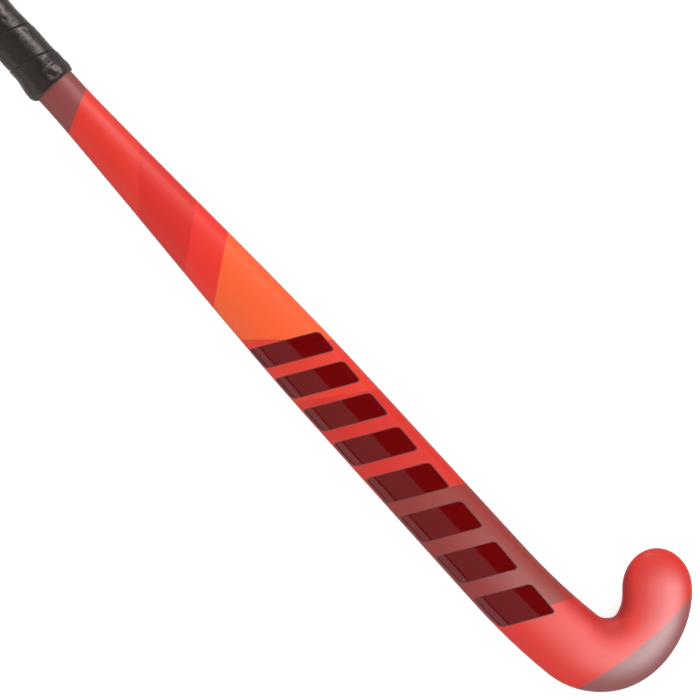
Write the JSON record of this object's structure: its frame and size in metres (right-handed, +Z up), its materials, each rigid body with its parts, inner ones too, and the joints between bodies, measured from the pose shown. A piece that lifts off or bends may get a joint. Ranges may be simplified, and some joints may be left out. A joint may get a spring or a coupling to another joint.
{
  "type": "indoor hockey stick",
  "caption": "Hooked composite stick with a flat playing face, a rounded back, a gently bowed shaft that widens downwards and a tape-wound oval handle.",
  "frame": {"origin": "middle of the underside of the bounding box, with the stick lying face down on its bow", "axes": "+X along the stick from the butt to the base of the hook, +Y across it towards the toe side, +Z up, out of the rounded back"},
  "size_m": [0.9284, 0.1182, 0.0441],
  "materials": {
    "painted_laminate": "satin",
    "bare_laminate": "satin",
    "shaft_foam": "matte",
    "head_foam": "matte",
    "plug_foam": "matte",
    "cap_rubber": "matte",
    "grip_polyurethane": "satin"
  },
  "bodies": {
    "root": {"laminate_shell": "painted_laminate", "centre_web": "bare_laminate", "heel_side_core": "shaft_foam", "toe_side_core": "shaft_foam", "head_core": "head_foam", "handle_plug": "plug_foam", "butt_cap": "cap_rubber", "grip_tape": "grip_polyurethane"}
  },
  "joints": []
}
